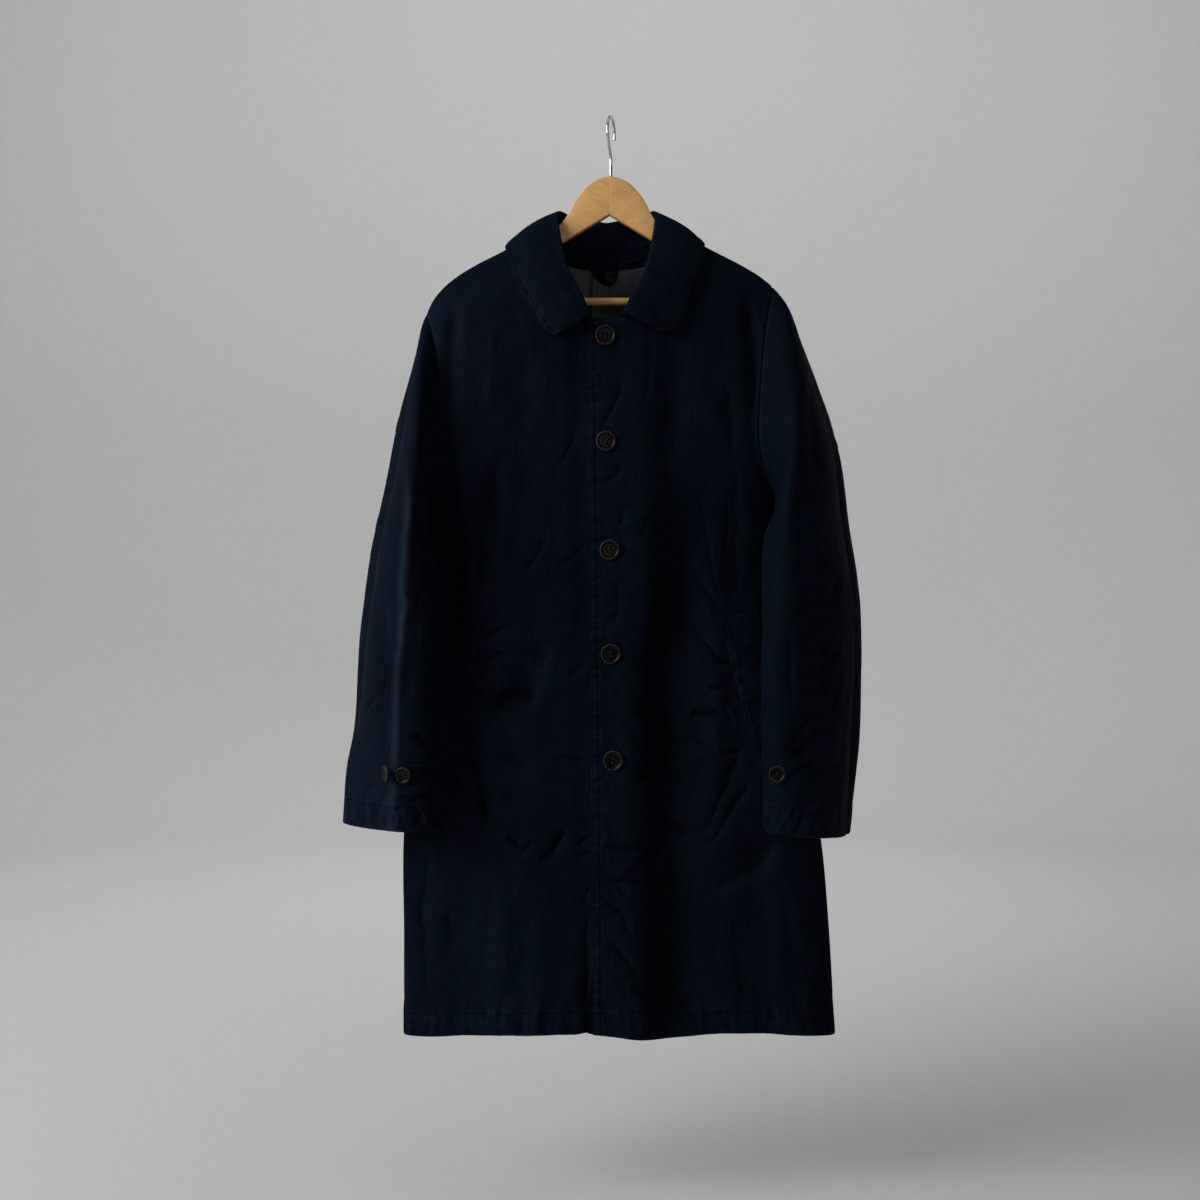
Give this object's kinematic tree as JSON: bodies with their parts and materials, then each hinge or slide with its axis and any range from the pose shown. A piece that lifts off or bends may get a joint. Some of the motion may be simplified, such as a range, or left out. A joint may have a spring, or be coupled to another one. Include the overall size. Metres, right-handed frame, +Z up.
{
  "type": "car coat on a flat wooden hanger",
  "caption": "Single-breasted knee-length cotton car coat with a turn-down collar, slanting welt pockets and cuff straps, buttoned up on a flat wooden hanger.",
  "frame": {"origin": "inner crown of the hanger's hook, where the rail or wall eye carries it", "axes": "+Z up, -Y the coat's front, +X towards the wearer's left, which is the viewer's right"},
  "size_m": [0.6342, 0.1763, 1.1339],
  "materials": {
    "cloth": "very dark navy garment-washed cotton, matte with a slight sheen",
    "lining": "dark plum half lining",
    "horn": "polished brown horn look with a lighter rim",
    "wood": "pale varnished wood",
    "wire": "bright plated wire"
  },
  "bodies": {
    "root": {"back": "cloth", "back_lining": "lining", "back_neck_facing": "cloth", "collar_fall": "cloth", "collar_stand": "cloth", "cuff_button_left_1": "horn", "cuff_button_right_1": "horn", "cuff_button_right_2": "horn", "cuff_strap_left": "cloth", "cuff_strap_right": "cloth", "front_button_1": "horn", "front_button_2": "horn", "front_button_3": "horn", "front_button_4": "horn", "front_button_5": "horn", "front_left": "cloth", "front_right": "cloth", "hanger_arm_left": "wood", "hanger_arm_right": "wood", "hanger_bar": "wood", "hanger_hook": "wire", "hanger_loop": "cloth", "neck_tab": "cloth", "neck_tab_button": "horn", "pocket_welt_left": "cloth", "pocket_welt_right": "cloth", "sleeve_left_top": "cloth", "sleeve_left_under": "cloth", "sleeve_right_top": "cloth", "sleeve_right_under": "cloth"}
  },
  "joints": []
}
